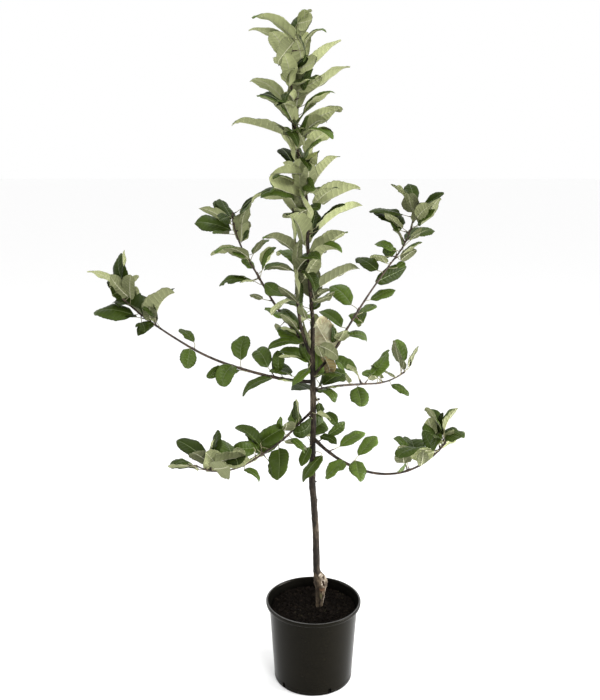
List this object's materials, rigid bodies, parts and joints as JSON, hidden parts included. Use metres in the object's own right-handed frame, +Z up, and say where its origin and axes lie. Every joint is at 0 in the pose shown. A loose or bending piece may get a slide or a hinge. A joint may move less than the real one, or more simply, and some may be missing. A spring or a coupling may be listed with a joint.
{
  "type": "dwarf apple tree in a pot",
  "caption": "Young dwarf apple tree in leaf, a forked leader with arching boughs and leafy tufts, standing in a round nursery pot of potting mix.",
  "frame": {"origin": "centre of the pot's flat underside", "axes": "+Z up along the tree, +X to the tree's right and -Y to its front, seen from the front"},
  "size_m": [0.9189, 0.5997, 1.6389],
  "materials": {
    "pot_plastic": "moulded charcoal black nursery pot, satin, faint concentric mould lines",
    "potting_mix": "dark moist peat and bark potting mix, rough",
    "bark": "grey brown young bark with nodes, pale grey beige at the graft union, matt",
    "young_wood": "dark purple brown young wood, matt to faintly satin, with pale lenticels",
    "leaves": "deep green satin upper sides, pale sage undersides with cream veins"
  },
  "bodies": {
    "root": {"pot": "pot_plastic", "potting_mix": "potting_mix", "trunk": "bark", "second_leader": "young_wood", "bough_back": "young_wood", "bough_left_high": "young_wood", "bough_left_low": "young_wood", "bough_left_mid": "young_wood", "bough_right_high": "young_wood", "bough_right_low_inner": "young_wood", "bough_right_low_outer": "young_wood", "bough_right_mid": "young_wood", "leaves_back_1": "leaves", "leaves_back_2": "leaves", "leaves_leader_01": "leaves", "leaves_leader_02": "leaves", "leaves_leader_03": "leaves", "leaves_leader_04": "leaves", "leaves_leader_05": "leaves", "leaves_leader_06": "leaves", "leaves_leader_07": "leaves", "leaves_leader_08": "leaves", "leaves_leader_09": "leaves", "leaves_leader_10": "leaves", "leaves_leader_11": "leaves", "leaves_leader_12": "leaves", "leaves_leader_13": "leaves", "leaves_leader_14": "leaves", "leaves_left_high_1": "leaves", "leaves_left_high_2": "leaves", "leaves_left_high_3": "leaves", "leaves_left_low_1": "leaves", "leaves_left_low_2": "leaves", "leaves_left_low_3": "leaves", "leaves_left_mid_1": "leaves", "leaves_left_mid_2": "leaves", "leaves_left_mid_3": "leaves", "leaves_left_mid_4": "leaves", "leaves_right_high_1": "leaves", "leaves_right_high_2": "leaves", "leaves_right_high_3": "leaves", "leaves_right_high_4": "leaves", "leaves_right_low_1": "leaves", "leaves_right_low_2": "leaves", "leaves_right_low_3": "leaves", "leaves_right_low_4": "leaves", "leaves_right_mid_1": "leaves", "leaves_right_mid_2": "leaves", "leaves_right_mid_3": "leaves", "leaves_second_leader_1": "leaves"}
  },
  "joints": []
}
